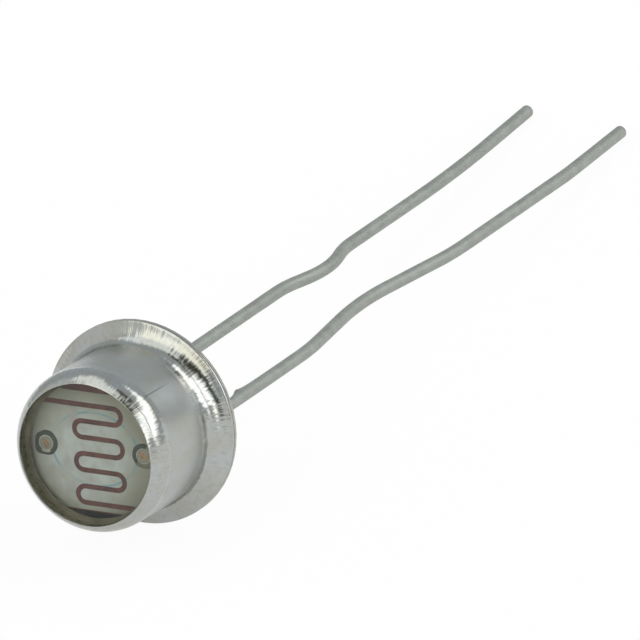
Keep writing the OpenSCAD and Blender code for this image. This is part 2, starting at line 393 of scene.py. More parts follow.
@dataclass(frozen=True)
class DrawnNickel:
    """Nickel plated steel, deep drawn: a satin wall with faint rings and bends polished by the die.

    The eye sees even grey on the wall, with one dark scratch, and on the bends sharp bright and
    dark bands, which wave a little and have edges ragged with marks that run the way the sheet was
    pulled. Small dull specks lie on the bends. The rings, marks and specks are drawn coarser than
    the real ones, so that they show.
    """

    tint: str = "#B4B7B7"
    warm: str = "#AFAEA6"
    wall_roughness: float = 0.25
    bend_roughness: float = 0.09
    cloud_roughness: float = 0.1
    speck_roughness: float = 0.3
    speck_share: float = 0.28
    wall_specks: float = 0.25
    ring_mm: float = 0.09
    mark_mm: float = 0.11
    wave_mm: float = 0.55
    cloud_mm: float = 0.9
    speck_mm: float = 0.11
    relief_mm: float = 0.015
    ring_relief: float = 0.4
    wave_relief: float = 3.0
    wall_from: float = 0.0
    wall_to: float = 1.0
    blend: Pair = (0.1, 0.25)
    scratch_at: float = 2.17
    scratch_l: float = 1.65
    scratch_mm: float = 0.03
    scratch: str = "#707576"
    stain: str = "#969891"

    def patterns(self, tree: Tree, flat: Socket) -> dict[str, Socket]:
        """Adds the surface's patterns, each stretched to its size in millimetres.

        Args:
            tree: The material's tree.
            flat: Socket with the place on the flat map.

        Returns:
            The patterns by name.
        """
        grains = {
            "cloud": (1 / self.cloud_mm, 0.7 / self.cloud_mm, 4.0),
            "rings": (0.25, 1 / self.ring_mm, 3.0),
            "marks": (1 / self.mark_mm, 0.9, 3.0),
            "specks": (1 / self.speck_mm, 0.6 / self.speck_mm, 4.0),
            "waves": (1 / self.wave_mm, 0.6 / self.wave_mm, 1.0),
        }
        made = {}
        for name, (round_axis, along_axis, detail) in grains.items():
            spread = add_node(
                tree, "Mapping", {"Vector": flat, "Scale": (round_axis, along_axis, 1)}
            ).outputs[0]
            made[name] = add_node(
                tree, "TexNoise", {"Vector": spread, "Scale": 1.0, "Detail": detail}
            ).outputs[0]
        return made

    def wall_share(self, tree: Tree, along: Socket) -> Socket:
        """Adds a mask that is one on the wall and fades out towards the bends.

        Args:
            tree: The material's tree.
            along: Socket with the place along the section.

        Returns:
            Socket with the mask.
        """
        outside, inside = self.blend
        ends = (
            (self.wall_from - outside, self.wall_from + inside),
            (self.wall_to + outside, self.wall_to - inside),
        )
        rise, fall = (
            add_node(
                tree,
                "MapRange",
                {"Value": along, "From Min": low, "From Max": high},
                interpolation_type="SMOOTHSTEP",
            ).outputs[0]
            for low, high in ends
        )
        return add_node(tree, "Math", {0: rise, 1: fall}, operation="MULTIPLY").outputs[0]

    def scratch_share(self, tree: Tree, across: Socket, along: Socket) -> Socket:
        """Adds a mask of the scratch, which starts at the shoulder and fades down the wall.

        Args:
            tree: The material's tree.
            across: Socket with the place round the can.
            along: Socket with the place along the section.

        Returns:
            Socket with the mask.
        """
        aside = add_node(tree, "Math", {0: across, 1: self.scratch_at}, operation="SUBTRACT")
        aside = add_node(tree, "Math", {0: aside.outputs[0]}, operation="ABSOLUTE")
        reach = {"From Min": self.scratch_mm, "From Max": 0.3 * self.scratch_mm}
        narrow = add_node(tree, "MapRange", {"Value": aside.outputs[0], **reach})
        end = self.wall_from + self.scratch_l
        reach = {"From Min": end, "From Max": end - 0.5 * self.scratch_l, "To Max": 0.8}
        fading = add_node(tree, "MapRange", {"Value": along, **reach})
        below = add_node(tree, "Math", {0: along, 1: self.wall_from}, operation="GREATER_THAN")
        share = narrow
        for mask in (fading, below):
            share = add_node(
                tree, "Math", {0: share.outputs[0], 1: mask.outputs[0]}, operation="MULTIPLY"
            )
        return share.outputs[0]

    def make(self) -> bpy.types.Material:
        """Builds the material on the flat map, whose second axis follows the section.

        Returns:
            The material.
        """
        material, tree, shader = new_material("nickel_plated_drawn_steel")
        flat = add_node(tree, "UVMap", uv_map="millimetres").outputs[0]
        across, along, _ = add_node(tree, "SeparateXYZ", {0: flat}).outputs
        pattern = self.patterns(tree, flat)
        on_wall = self.wall_share(tree, along)
        colour = add_node(
            tree,
            "ValToRGB",
            {0: pattern["cloud"]},
            stops=[(0.3, linear(self.warm)), (0.62, linear(self.tint))],
        ).outputs[0]
        reach = {"From Min": 0.46, "From Max": 0.7, "To Max": self.speck_share}
        specks = add_node(tree, "MapRange", {"Value": pattern["specks"], **reach}).outputs[0]
        reach = {"To Min": 1.0, "To Max": self.wall_specks}
        bare = add_node(tree, "MapRange", {"Value": on_wall, **reach}).outputs[0]
        dull = add_node(tree, "Math", {0: specks, 1: bare}, operation="MULTIPLY").outputs[0]
        for share, tone in (
            (dull, self.stain),
            (self.scratch_share(tree, across, along), self.scratch),
        ):
            colour = add_node(
                tree, "Mix", {"Factor": share, "A": colour, "B": linear(tone)}, data_type="RGBA"
            ).outputs[2]
        reach = {"To Min": self.bend_roughness, "To Max": self.wall_roughness}
        rough = add_node(tree, "MapRange", {"Value": on_wall, **reach}).outputs[0]
        for part, gain in (
            (pattern["cloud"], self.cloud_roughness),
            (dull, self.speck_roughness),
        ):
            rough = add_node(
                tree, "Math", {0: part, 1: gain, 2: rough}, operation="MULTIPLY_ADD"
            ).outputs[0]
        ringed = add_node(
            tree, "Math", {0: pattern["rings"], 1: self.ring_relief}, operation="MULTIPLY"
        ).outputs[0]
        heights = {0: pattern["waves"], 1: self.wave_relief, 2: pattern["marks"]}
        pulled = add_node(tree, "Math", heights, operation="MULTIPLY_ADD").outputs[0]
        height = add_node(
            tree, "Mix", {"Factor": on_wall, "A": pulled, "B": ringed}, data_type="FLOAT"
        )
        relief = {"Strength": 0.8, "Distance": self.relief_mm * MM}
        bump = add_node(tree, "Bump", {"Height": height.outputs[0], **relief}).outputs[0]
        sockets = {"Metallic": 1.0, "Base Color": colour, "Roughness": rough, "Normal": bump}
        feed(tree, shader, sockets)
        return material


@dataclass(frozen=True)
class Mottled:
    """Base of the plain finishes: two tones in soft blotches, over a slight relief."""

    name: str
    tint: str
    shade: str
    roughness: float = 0.5
    gloss_range: float = 0.0
    blotch_mm: float = 0.4
    detail: float = 3.0
    stops: Pair = (0.35, 0.65)
    grain_mm: float | None = None
    relief: float = 0.3
    relief_mm: float = 0.01
    metallic: float = 0.0
    ior: float = 1.5

    def make(self, frame: OpticalFrame) -> bpy.types.Material:
        """Builds the material in the optical frame; without a grain, the blotches stand out.

        Args:
            frame: Where the part lies.

        Returns:
            The material.
        """
        material, tree, shader = new_material(self.name)
        place = frame.coords(tree)
        blotch = add_node(
            tree, "TexNoise", {"Vector": place, "Scale": 1 / self.blotch_mm, "Detail": self.detail}
        ).outputs[0]
        height = blotch
        if self.grain_mm:
            height = add_node(
                tree, "TexNoise", {"Vector": place, "Scale": 1 / self.grain_mm, "Detail": 2.0}
            ).outputs[0]
        tones = (linear(self.shade), linear(self.tint))
        colour = add_node(tree, "ValToRGB", {0: blotch}, stops=list(zip(self.stops, tones)))
        smooth = self.roughness - self.gloss_range / 2
        rough = add_node(
            tree, "Math", {0: blotch, 1: self.gloss_range, 2: smooth}, operation="MULTIPLY_ADD"
        )
        relief = {"Strength": self.relief, "Distance": self.relief_mm * MM}
        bump = add_node(tree, "Bump", {"Height": height, **relief})
        sockets = {
            "Metallic": self.metallic,
            "IOR": self.ior,
            "Base Color": colour.outputs[0],
            "Roughness": rough.outputs[0],
            "Normal": bump.outputs[0],
        }
        feed(tree, shader, sockets)
        return material


@dataclass(frozen=True)
class PlainNickel(Mottled):
    """Nickel plated steel, stamped and left dull: the eye sees soft grey with a fine mottle."""

    name: str = "nickel_plated_stamped_steel"
    tint: str = "#BFBFB8"
    shade: str = "#AAAAA2"
    roughness: float = 0.34
    gloss_range: float = 0.2
    blotch_mm: float = 0.3
    detail: float = 5.0
    stops: Pair = (0.3, 0.7)
    metallic: float = 1.0


@dataclass(frozen=True)
class CutCopper(Mottled):
    """Copper core bared by the cutter: the eye sees dull orange brown with a darker smear."""

    name: str = "cut_copper"
    tint: str = "#B6906D"
    shade: str = "#82664A"
    roughness: float = 0.45
    blotch_mm: float = 0.12
    stops: Pair = (0.35, 0.6)
    relief: float = 0.0
    metallic: float = 0.6


@dataclass(frozen=True)
class SinteredPowder(Mottled):
    """Powder that is sintered, fired or dried, or dull solder: the eye sees a matte, grainy body.

    The grain is drawn coarser than the real one, so that it shows.
    """

    roughness: float = 0.8
    detail: float = 6.0
    stops: Pair = (0.32, 0.66)
    grain_mm: float | None = 0.05
    relief: float = 0.6
    relief_mm: float = 0.012
    ior: float = 1.6


@dataclass(frozen=True)
class FiredGlass(Mottled):
    """Opaque sealing glass, fired in place: the eye sees a dark, glossy, slightly rippled fill."""

    roughness: float = 0.2
    gloss_range: float = 0.2
    blotch_mm: float = 0.5
    relief_mm: float = 0.02
    ior: float = 1.52


@dataclass(frozen=True)
class TinnedWire:
    """Hot tinned copper wire: the eye sees matte grey with a cloudy bloom and marks along the wire.

    The marks are drawn coarser than the real ones, so that they show.
    """

    tint: str = "#ABAFA9"
    bloom: str = "#9C9F9A"
    roughness: float = 0.585
    gloss_range: float = 0.25
    streak_mm: float = 0.06
    streak_relief_mm: float = 0.008
    cloud_mm: float = 0.5
    metallic: float = 0.85

    def make(self) -> bpy.types.Material:
        """Builds the material on the flat map, whose second axis runs along the wire.

        Returns:
            The material.
        """
        material, tree, shader = new_material("tinned_copper_wire")
        flat = add_node(tree, "UVMap", uv_map="millimetres").outputs[0]
        streak_map = add_node(
            tree, "Mapping", {"Vector": flat, "Scale": (1 / self.streak_mm, 0.8, 1)}
        )
        streaks = add_node(
            tree, "TexNoise", {"Vector": streak_map.outputs[0], "Scale": 1.0, "Detail": 2.0}
        ).outputs[0]
        cloud = add_node(
            tree, "TexNoise", {"Vector": flat, "Scale": 1 / self.cloud_mm, "Detail": 5.0}
        ).outputs[0]
        colour = add_node(
            tree,
            "ValToRGB",
            {0: cloud},
            stops=[(0.32, linear(self.bloom)), (0.68, linear(self.tint))],
        )
        smooth = self.roughness - self.gloss_range / 2
        rough = add_node(
            tree, "Math", {0: cloud, 1: self.gloss_range, 2: smooth}, operation="MULTIPLY_ADD"
        )
        relief = {"Strength": 0.5, "Distance": self.streak_relief_mm * MM}
        bump = add_node(tree, "Bump", {"Height": streaks, **relief})
        sockets = {
            "Metallic": self.metallic,
            "Base Color": colour.outputs[0],
            "Roughness": rough.outputs[0],
            "Normal": bump.outputs[0],
        }
        feed(tree, shader, sockets)
        return material


@dataclass(frozen=True)
class ElectrodeFilm:
    """Evaporated metal film on fired ceramic: the eye sees matte mottled grey, with painted shade
    that turns it browner towards the face's edge.

    A thin blue green line runs round the face through the two posts, worn away in places. The
    ceramic's grain is drawn coarser than the real one, so that it shows.
    """

    tint: str = "#D0D4D2"
    blotch: str = "#BDBBB6"
    # Painted shade: towards its edge the film is mixed to this brown grey, where the can's rim
    # shades it.
    edge: str = "#9F9B88"
    ring: str = "#72A4B6"
    roughness: float = 0.5
    metallic: float = 0.2
    blotch_mm: float = 0.45
    grain_mm: float = 0.06
    relief_mm: float = 0.01
    # Middle of the painted shade's falloff, where it starts, and where it is full.
    unshaded_middle: Pair = (-0.3, -0.25)
    unshaded_r: float = 0.9
    full_shade_r: float = 2.4
    ring_x: float = 1.52
    ring_y: float = 1.19
    ring_w: float = 0.045

    def outwards(self, tree: Tree, place: Socket) -> Socket:
        """Adds the mask of painted shade, which grows from the unshaded middle of the face to its
        edge.

        Args:
            tree: The material's tree.
            place: Socket with the surface point in optical millimetres.

        Returns:
            Socket with the mask.
        """
        shift = (-self.unshaded_middle[0], -self.unshaded_middle[1], 0.0)
        spread = add_node(
            tree, "Mapping", {"Vector": place, "Location": shift, "Scale": (1.0, 1.0, 0.0)}
        )
        spread = add_node(tree, "VectorMath", {0: spread.outputs[0]}, operation="LENGTH")
        reach = {"From Min": self.unshaded_r, "From Max": self.full_shade_r}
        return add_node(
            tree,
            "MapRange",
            {"Value": spread.outputs["Value"], **reach},
            interpolation_type="SMOOTHSTEP",
        ).outputs[0]

    def ring_share(self, tree: Tree, place: Socket, blotch: Socket) -> Socket:
        """Adds a mask of the line through the posts, an ellipse worn away in blotches.

        Args:
            tree: The material's tree.
            place: Socket with the surface point in optical millimetres.
            blotch: Socket with the film's blotches.

        Returns:
            Socket with the mask.
        """
        squeeze = (1 / self.ring_x, 1 / self.ring_y, 0.0)
        squeezed = add_node(tree, "Mapping", {"Vector": place, "Scale": squeeze})
        reach = add_node(tree, "VectorMath", {0: squeezed.outputs[0]}, operation="LENGTH")
        away = add_node(tree, "Math", {0: reach.outputs["Value"], 1: 1.0}, operation="SUBTRACT")
        away = add_node(tree, "Math", {0: away.outputs[0]}, operation="ABSOLUTE")
        width = {"From Min": self.ring_w, "From Max": 0.3 * self.ring_w}
        on_line = add_node(
            tree, "MapRange", {"Value": away.outputs[0], **width}, interpolation_type="SMOOTHSTEP"
        )
        wear = {"From Min": 0.42, "From Max": 0.56, "To Max": 0.75}
        worn = add_node(tree, "MapRange", {"Value": blotch, **wear})
        return add_node(
            tree, "Math", {0: on_line.outputs[0], 1: worn.outputs[0]}, operation="MULTIPLY"
        ).outputs[0]

    def make(self, frame: OpticalFrame) -> bpy.types.Material:
        """Builds the material in the optical frame.

        Args:
            frame: Where the part lies.

        Returns:
            The material.
        """
        material, tree, shader = new_material("evaporated_metal_film_painted_shade")
        place = frame.coords(tree)
        blotch, grain = (
            add_node(
                tree, "TexNoise", {"Vector": place, "Scale": 1 / size, "Detail": detail}
            ).outputs[0]
            for size, detail in ((self.blotch_mm, 4.0), (self.grain_mm, 2.0))
        )
        colour = add_node(
            tree,
            "ValToRGB",
            {0: blotch},
            stops=[(0.34, linear(self.blotch)), (0.64, linear(self.tint))],
        ).outputs[0]
        # Painted shade towards the face's edge, then the worn line through the posts.
        for share, tone in (
            (self.outwards(tree, place), self.edge),
            (self.ring_share(tree, place, blotch), self.ring),
        ):
            colour = add_node(
                tree, "Mix", {"Factor": share, "A": colour, "B": linear(tone)}, data_type="RGBA"
            ).outputs[2]
        relief = {"Strength": 0.5, "Distance": self.relief_mm * MM}
        bump = add_node(tree, "Bump", {"Height": grain, **relief})
        sockets = {
            "Metallic": self.metallic,
            "Base Color": colour,
            "Roughness": self.roughness,
            "Normal": bump.outputs[0],
        }
        feed(tree, shader, sockets)
        return material


@dataclass(frozen=True)
class WindowGlass:
    """Clear drawn glass with a faint haze: the eye sees through it, with a soft gleam on top."""

    tint: str = "#F4F8F5"
    gleam: str = "#B8BABC"
    roughness: float = 0.015
    gloss_range: float = 0.03
    haze_mm: float = 0.8
    ior: float = 1.5

    def make(self, frame: OpticalFrame) -> bpy.types.Material:
        """Builds the material; lamps shine through it onto the element.

        Args:
            frame: Where the part lies.

        Returns:
            The material.
        """
        material, tree, shader = new_material("clear_window_glass")
        haze = add_node(
            tree,
            "TexNoise",
            {"Vector": frame.coords(tree), "Scale": 1 / self.haze_mm, "Detail": 4.0},
        ).outputs[0]
        values = {0: haze, 1: self.gloss_range, 2: self.roughness}
        rough = add_node(tree, "Math", values, operation="MULTIPLY_ADD")
        sockets = {
            "Base Color": linear(self.tint),
            "Transmission Weight": 1.0,
            "IOR": self.ior,
            "Specular Tint": linear(self.gleam),
            "Roughness": rough.outputs[0],
        }
        feed(tree, shader, sockets)
        clear = add_node(tree, "BsdfTransparent", {"Color": linear(self.tint)})
        shadow = add_node(tree, "LightPath").outputs["Is Shadow Ray"]
        mix = add_node(tree, "MixShader", {0: shadow, 1: shader.outputs[0], 2: clear.outputs[0]})
        show(tree, mix)
        return material


@dataclass
class Cap:
    """Drawn top hat cap: brim, wall and a round shoulder in which the aperture is cut."""

    wall_r: float = 2.65
    sheet: float = 0.11
    top: float = 3.82
    shoulder_r: float = 0.89
    aperture_r: float = 2.315
    root_r: float = 0.62
    brim_r: float = 3.3
    brim_z: float = 0.11
    brim_fall: float = 12.0
    edge: float = 0.03
    segments: int = 288
    dent: float = 0.004
    dents_round: float = 2.2
    dents_along: float = 0.9

    def section(self) -> tuple[list[Pair], int, int]:
        """Closed section from the aperture over the outside to the brim and back inside.

        Returns:
            The section's points, and the numbers of the wall's first and last point.
        """
        arc_r = self.wall_r - self.shoulder_r
        reach = self.aperture_r - arc_r
        crown = self.top - math.sqrt(self.shoulder_r**2 - reach**2)
        inner = self.shoulder_r - self.sheet
        lip_low = crown + math.sqrt(inner**2 - reach**2)
        lip_angle = math.degrees(math.acos(reach / self.shoulder_r))
        low_angle = math.degrees(math.acos(reach / inner))
        over = math.degrees(self.edge / self.shoulder_r)
        brim_top = self.brim_z + self.sheet
        root = (self.wall_r + self.root_r, brim_top + self.root_r)
        shoulder = arc((arc_r, crown), self.shoulder_r, lip_angle - over, 0.0, 28)
        bend = arc(root, self.root_r, 180.0, 270.0 - self.brim_fall, 32)
        slope = math.tan(math.radians(self.brim_fall))
        middle = self.brim_z + self.sheet / 2
        turned = (self.brim_r, middle)
        points = [(self.aperture_r, lip_low), (self.aperture_r, lip_low + 0.4 * self.sheet)]
        points += rounded(
            (self.aperture_r, self.top - self.edge), (self.aperture_r, self.top), shoulder[0], 5
        )
        points += shoulder[1:]
        wall_from = len(points) - 1
        points += line((self.wall_r, crown), (self.wall_r, root[1]), 30)[1:]
        wall_to = len(points) - 1
        points += bend[1:]
        edge_z = bend[-1][1] - slope * (self.brim_r - bend[-1][0])
        soft = self.sheet / 2
        points += line(bend[-1], (self.brim_r - soft, edge_z + slope * soft), 4)[1:]
        points += rounded(points[-1], (self.brim_r, edge_z), turned, 5)[1:]
        low_edge = (self.brim_r - self.sheet / 4, self.brim_z)
        points += rounded(turned, (self.brim_r, self.brim_z), low_edge, 4)[1:]
        points += arc(root, self.root_r + self.sheet, 270.0, 180.0, 20)
        inside = self.wall_r - self.sheet
        points += line((inside, root[1]), (inside, crown), 10)[1:]
        points += arc((arc_r, crown), inner, 0.0, low_angle, 14)[1:-1]
        return points, wall_from, wall_to

    def build(self, frame: OpticalFrame) -> bpy.types.Object:
        """Turns the section round the axis, with the slight unevenness of a drawn sheet.

        Args:
            frame: Where the part lies.

        Returns:
            The cap, which stands for its CAD node.
        """
        points, wall_from, wall_to = self.section()
        section = np.array(points)
        steps = np.hypot(*np.diff(section, axis=0, append=section[:1]).T)
        along = np.concatenate([[0.0], np.cumsum(steps)])
        draft = MeshDraft()
        for j in range(self.segments):
            angle = 2 * math.pi * j / self.segments
            cos, sin = math.cos(angle), math.sin(angle)
            for r, z in section:
                spot = (self.dents_round * cos, self.dents_round * sin, self.dents_along * z)
                slow = noise.noise(Vector(spot))
                r -= self.dent * (0.5 + 0.5 * slow)
                draft.points.append((r * cos, r * sin, z))
        unit = self.wall_r * 2 * math.pi / self.segments
        for j, i, quad in lattice(self.segments, len(section), closed=True):
            near, far = j * unit, (j + 1) * unit
            start, end = along[i], along[i + 1]
            draft.face(quad, [(near, start), (near, end), (far, end), (far, start)])
        finish = DrawnNickel(wall_from=along[wall_from], wall_to=along[wall_to])
        cap = draft.make("cap_shell", frame, [finish.make()])
        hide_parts("cap")
        return cap


@dataclass
class Window:
    """Round glass window with softened edges."""

    radius: float = 2.375
    low: float = 3.194
    thickness: float = 0.4
    edge: float = 0.04
    segments: int = 128
    rings: int = 12

    def build(self, frame: OpticalFrame) -> bpy.types.Object:
        """Turns the disc's section round the axis.

        Args:
            frame: Where the part lies.

        Returns:
            The window, which stands for its CAD node.
        """
        high = self.low + self.thickness
        flat_r = self.radius - self.edge
        inner = flat_r / self.rings
        upper = (self.radius, high - self.edge)
        lower = (self.radius, self.low + self.edge)
        section = line((inner, high), (flat_r, high), self.rings)
        section += rounded((flat_r, high), (self.radius, high), upper, 4)[1:]
        section += rounded(lower, (self.radius, self.low), (flat_r, self.low), 4)
        section += line((flat_r, self.low), (inner, self.low), self.rings)[1:]
        draft = MeshDraft()
        count = len(section)
        for j in range(self.segments):
            angle = 2 * math.pi * j / self.segments
            draft.points += [(r * math.cos(angle), r * math.sin(angle), z) for r, z in section]
        for _, _, quad in lattice(self.segments, count, closed=False):
            draft.face(quad)
        draft.face(tuple(j * count for j in range(self.segments)))
        draft.face(tuple(j * count + count - 1 for j in reversed(range(self.segments))))
        window = draft.make("window_disc", frame, [WindowGlass().make(frame)])
        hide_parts("window")
        return window


@dataclass(frozen=True)
class Stretch:
    """One straight stretch of wire and the bend after it, which turns towards the given way."""

    length: float
    turn: float = 0.0
    radius: float = 0.0
    way: float = 0.0


@dataclass
class Lead:
    """Formed wire lead from its end in the element's face to its cut tip."""

    side: Side
    straight: float
    kink: float
    kink_in: float
    kink_out: float
    kink_r: float
    after: float
    tail: float
    tail_r: float
    length: float
    burr_z: float | None = None
    burr: float = 0.075
    burr_way: float = 52.0
    burr_rise: float = 0.12
    burr_fade: float = 0.35
    hollow: float = 0.07
    hollow_up: float = 0.75
    hollow_l: float = 0.45
    mark: float = 0.004
    radius: float = 0.21
    rim: float = 0.045
    core_r: float = 0.13
    core_x: float = 0.02
    core_y: float = -0.02
    core_long: float = 0.3
    core_way: float = 1.9
    pitch: float = 3.44
    top: float = 3.024
    lean_z: float = 2.6
    lean: float = 2.4
    lean_r: float = 3.0
    # Steps down the wire's upper end, and how far each keeps within its radius.
    end_steps: tuple[Pair, ...] = ((0.0, 0.03), (0.012, 0.008), (0.035, 0.0))
    end_l: float = 0.06
    tip_cut: float = 0.06
    sides: int = 40
    step: float = 0.12

    def stretches(self) -> list[Stretch]:
        """Works out the wire's course.

        Returns:
            Its stretches and bends in order, from the element's face down.
        """
        lean_l = self.lean_z + math.radians(self.lean) * self.lean_r
        kink_l = self.kink_in + self.kink_out + math.radians(4 * self.kink) * self.kink_r
        tail_bend = math.radians(abs(self.tail)) * self.tail_r
        tail_l = self.length - self.straight - kink_l - self.after - tail_bend
        return [
            Stretch(self.top + self.lean_z, self.lean, self.lean_r, 90.0),
            Stretch(self.straight - lean_l, self.kink, self.kink_r),
            Stretch(self.kink_in, -2 * self.kink, self.kink_r),
            Stretch(self.kink_out, self.kink, self.kink_r),
            Stretch(self.after, self.tail, self.tail_r),
            Stretch(tail_l),
        ]

    def rings(self) -> list[tuple[Matrix, float, float]]:
        """Places rings along the wire, through its stretches and bends.

        Returns:
            For each ring its frame, its distance along the wire and its radius.
        """
        place = Matrix.Identity(4)
        run = 0.0
        rings = [
            (Matrix.Translation((0, 0, -down)), down, self.radius - back)
            for down, back in self.end_steps
        ]
        stretches = self.stretches()
        for stretch in stretches:
            last = stretch is stretches[-1]
            length = stretch.length - (self.tip_cut if last else 0.0)
            first = self.end_l if stretch is stretches[0] else 0.0
            count = max(2, round((length - first) / self.step))
            for t in np.linspace(first, length, count + 1)[: None if last else -1]:
                rings.append((place @ Matrix.Translation((0, 0, -t)), run + t, self.radius))
            if last:
                tip = place @ Matrix.Translation((0, 0, -stretch.length))
                rings.append((tip, run + stretch.length, self.radius - self.tip_cut))
                break
            bend = math.radians(stretch.turn)
            way = Matrix.Rotation(math.radians(stretch.way), 4, "Z")
            hub = math.copysign(stretch.radius, bend)
            to_hub = place @ way @ Matrix.Translation((hub, 0, -stretch.length))
            from_hub = Matrix.Translation((-hub, 0, 0)) @ way.inverted()
            run += stretch.length
            arc_l = abs(bend) * stretch.radius
            steps = max(3, round(arc_l / self.step))
            for i in range(steps):
                swing = Matrix.Rotation(-bend * i / steps, 4, "Y")
                rings.append((to_hub @ swing @ from_hub, run + arc_l * i / steps, self.radius))
            place = to_hub @ Matrix.Rotation(-bend, 4, "Y") @ from_hub
            run += arc_l
        return rings

    def swell(self, angle: float, run: float) -> float:
        """How far the surface stands off the round wire, from handling marks and the burr.

        Args:
            angle: Way round the wire in radians, from the other lead's side.
            run: Distance along the wire.

        Returns:
            Distance outwards.
        """
        mark = noise.noise(Vector((1.7 * math.cos(angle), 1.7 * math.sin(angle), 0.8 * run)))
        off = self.mark * (mark - 1)
        if self.burr_z is not None:
            down = run - self.top - self.burr_z
            turn = math.cos(angle - math.radians(self.burr_way))
            if turn > 0:
                rise = math.exp(-((down / self.burr_rise) ** 2))
                tooth = rise if down < 0 else math.exp(-down / self.burr_fade)
                hollow = math.exp(-(((down + self.hollow_up) / self.hollow_l) ** 2))
                off += (self.burr * tooth - self.hollow * hollow) * turn**6
        return off

    def build(self, frame: OpticalFrame) -> bpy.types.Object:
        """Sweeps the wire's round section along its path.

        Args:
            frame: Where the part lies.

        Returns:
            The lead, which stands for its CAD node.
        """
        name = f"lead_{self.side.name.lower()}"
        mirror = -self.side.value
        start = Vector((self.side.value * self.pitch / 2, 0.0, self.top))
        draft = MeshDraft()
        rings = self.rings()
        angles = [2 * math.pi * i / self.sides for i in range(self.sides)]

        def place(point: Vector) -> Triple:
            """Mirrors a wire point to its side and moves it to its hole."""
            return mirror * point.x + start.x, point.y + start.y, point.z + start.z

        for ring, run, radius in rings:
            ends = radius < self.radius
            for angle in angles:
                r = radius if ends else radius + self.swell(angle, run)
                spot = Vector((r * math.cos(angle), r * math.sin(angle), 0))
                draft.points.append(place(ring @ spot))
        unit = self.radius * 2 * math.pi / self.sides
        for j in range(len(rings) - 1):
            for i in range(self.sides):
                k = (i + 1) % self.sides
                a, b = j * self.sides, (j + 1) * self.sides
                quad = (a + i, b + i, b + k, a + k)
                near, far = i * unit, (i + 1) * unit
                start_l, end_l = rings[j][1], rings[j + 1][1]
                flat = [(near, start_l), (near, end_l), (far, end_l), (far, start_l)]
                if mirror < 0:
                    quad, flat = quad[::-1], flat[::-1]
                draft.face(quad, flat)
        self.close(draft, rings[0][0], 0, mirror < 0, place)
        self.close(draft, rings[-1][0], (len(rings) - 1) * self.sides, mirror > 0, place)
        lead = draft.make(f"{name}_wire", frame, [TinnedWire().make(), CutCopper().make(frame)])
        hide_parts(name)
        return lead

    def close(
        self,
        draft: MeshDraft,
        ring: Matrix,
        first: int,
        flip: bool,
        place: Callable[[Vector], Triple],
    ) -> None:
        """Closes one end with a tin rim round a copper core.

        Args:
            draft: The lead's draft.
            ring: Frame of the end's last ring.
            first: Number of that ring's first vertex.
            flip: Whether the faces turn the other way.
            place: Moves a wire point to the lead's side and hole.
        """
        base = len(draft.points)
        for i in range(self.sides):
            angle = 2 * math.pi * i / self.sides
            spot = Vector((2 * math.cos(angle), 2 * math.sin(angle), 7.0))
            smeared = math.cos(2 * angle - self.core_way * self.side.value)
            radius = self.core_r * (1 + 0.14 * noise.noise(spot) + self.core_long * smeared)
            core = Vector((radius * math.cos(angle), radius * math.sin(angle), 0))
            core += Vector((self.core_x, self.core_y, 0))
            core *= min(1.0, (self.radius - self.rim) / core.length)
            draft.points.append(place(ring @ core))
        for i in range(self.sides):
            k = (i + 1) % self.sides
            quad = (first + i, first + k, base + k, base + i)
            draft.face(quad[::-1] if flip else quad)
        disc = tuple(base + i for i in range(self.sides))
        draft.face(disc[::-1] if flip else disc, slot=1)


